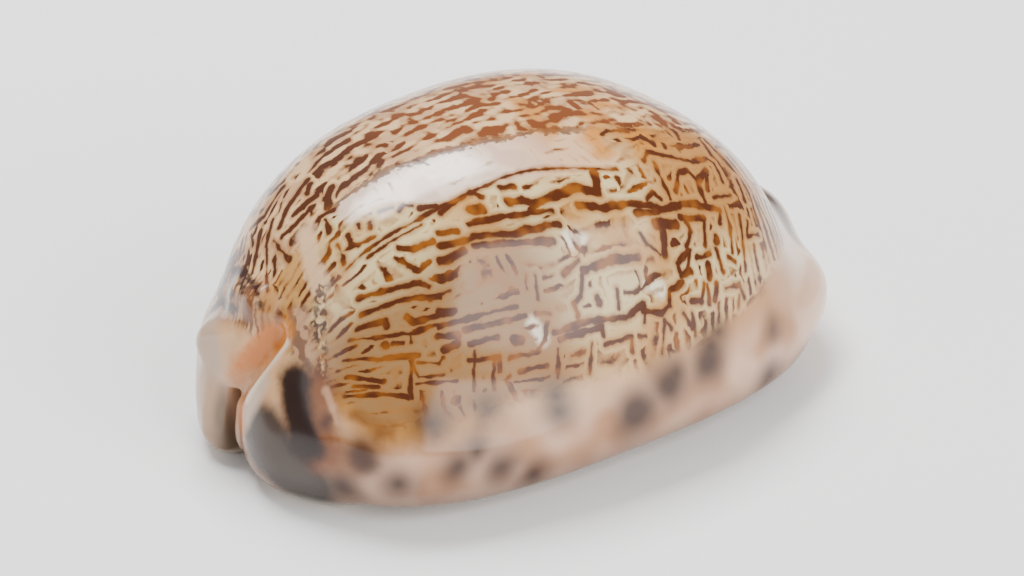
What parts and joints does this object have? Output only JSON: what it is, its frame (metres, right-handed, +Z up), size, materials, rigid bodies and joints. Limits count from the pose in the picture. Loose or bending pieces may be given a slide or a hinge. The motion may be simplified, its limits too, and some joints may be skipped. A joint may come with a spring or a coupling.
{
  "type": "cowrie shell",
  "caption": "Glossy egg-shaped sea shell with a humped, patterned back, a thick pale rim and a narrow toothed slit along its flat underside.",
  "frame": {"origin": "under the middle of the shell's bounding box, on the surface that it lies on", "axes": "+Z up through the back; +X along the shell towards its narrow front end, so the blunt spire end is at -X; the outer lip is at -Y and the inner lip at +Y"},
  "size_m": [0.0728, 0.05, 0.0325],
  "materials": {
    "enamel": "glossy natural enamel, cream with brown lines and a pinkish-tan spotted rim"
  },
  "bodies": {
    "root": {"shell": "enamel"}
  },
  "joints": []
}
